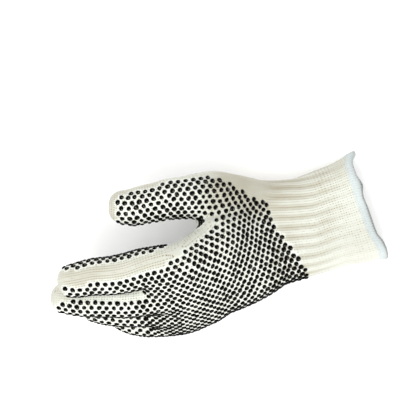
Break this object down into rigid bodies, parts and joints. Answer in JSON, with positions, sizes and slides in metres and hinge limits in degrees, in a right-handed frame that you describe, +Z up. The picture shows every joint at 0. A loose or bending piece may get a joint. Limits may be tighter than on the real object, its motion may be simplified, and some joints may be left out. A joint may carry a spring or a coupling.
{
  "type": "pvc dotted knit glove",
  "caption": "Left-hand string-knit work glove with printed PVC dots on palm and back, a ribbed knit cuff and an overlocked hem, lying with its fingers relaxed.",
  "frame": {"origin": "middle of the box's underside, on the surface that the glove lies on", "axes": "+Z up from the surface, -X the way the fingers point, +X out of the cuff's mouth, +Y the thumb's side"},
  "size_m": [0.2472, 0.1381, 0.0811],
  "materials": {
    "cream_knit": "matte string-knit polycotton, natural cream",
    "hem_thread": "matte overlocked thread, white",
    "pvc_dots": "soft printed PVC, domed, black, satin"
  },
  "bodies": {
    "root": {"cuff": "cream_knit", "cuff_hem": "hem_thread", "palm": "cream_knit", "knuckles": "cream_knit", "thumb": "cream_knit", "index_finger": "cream_knit", "middle_finger": "cream_knit", "ring_finger": "cream_knit", "little_finger": "cream_knit"}
  },
  "joints": []
}
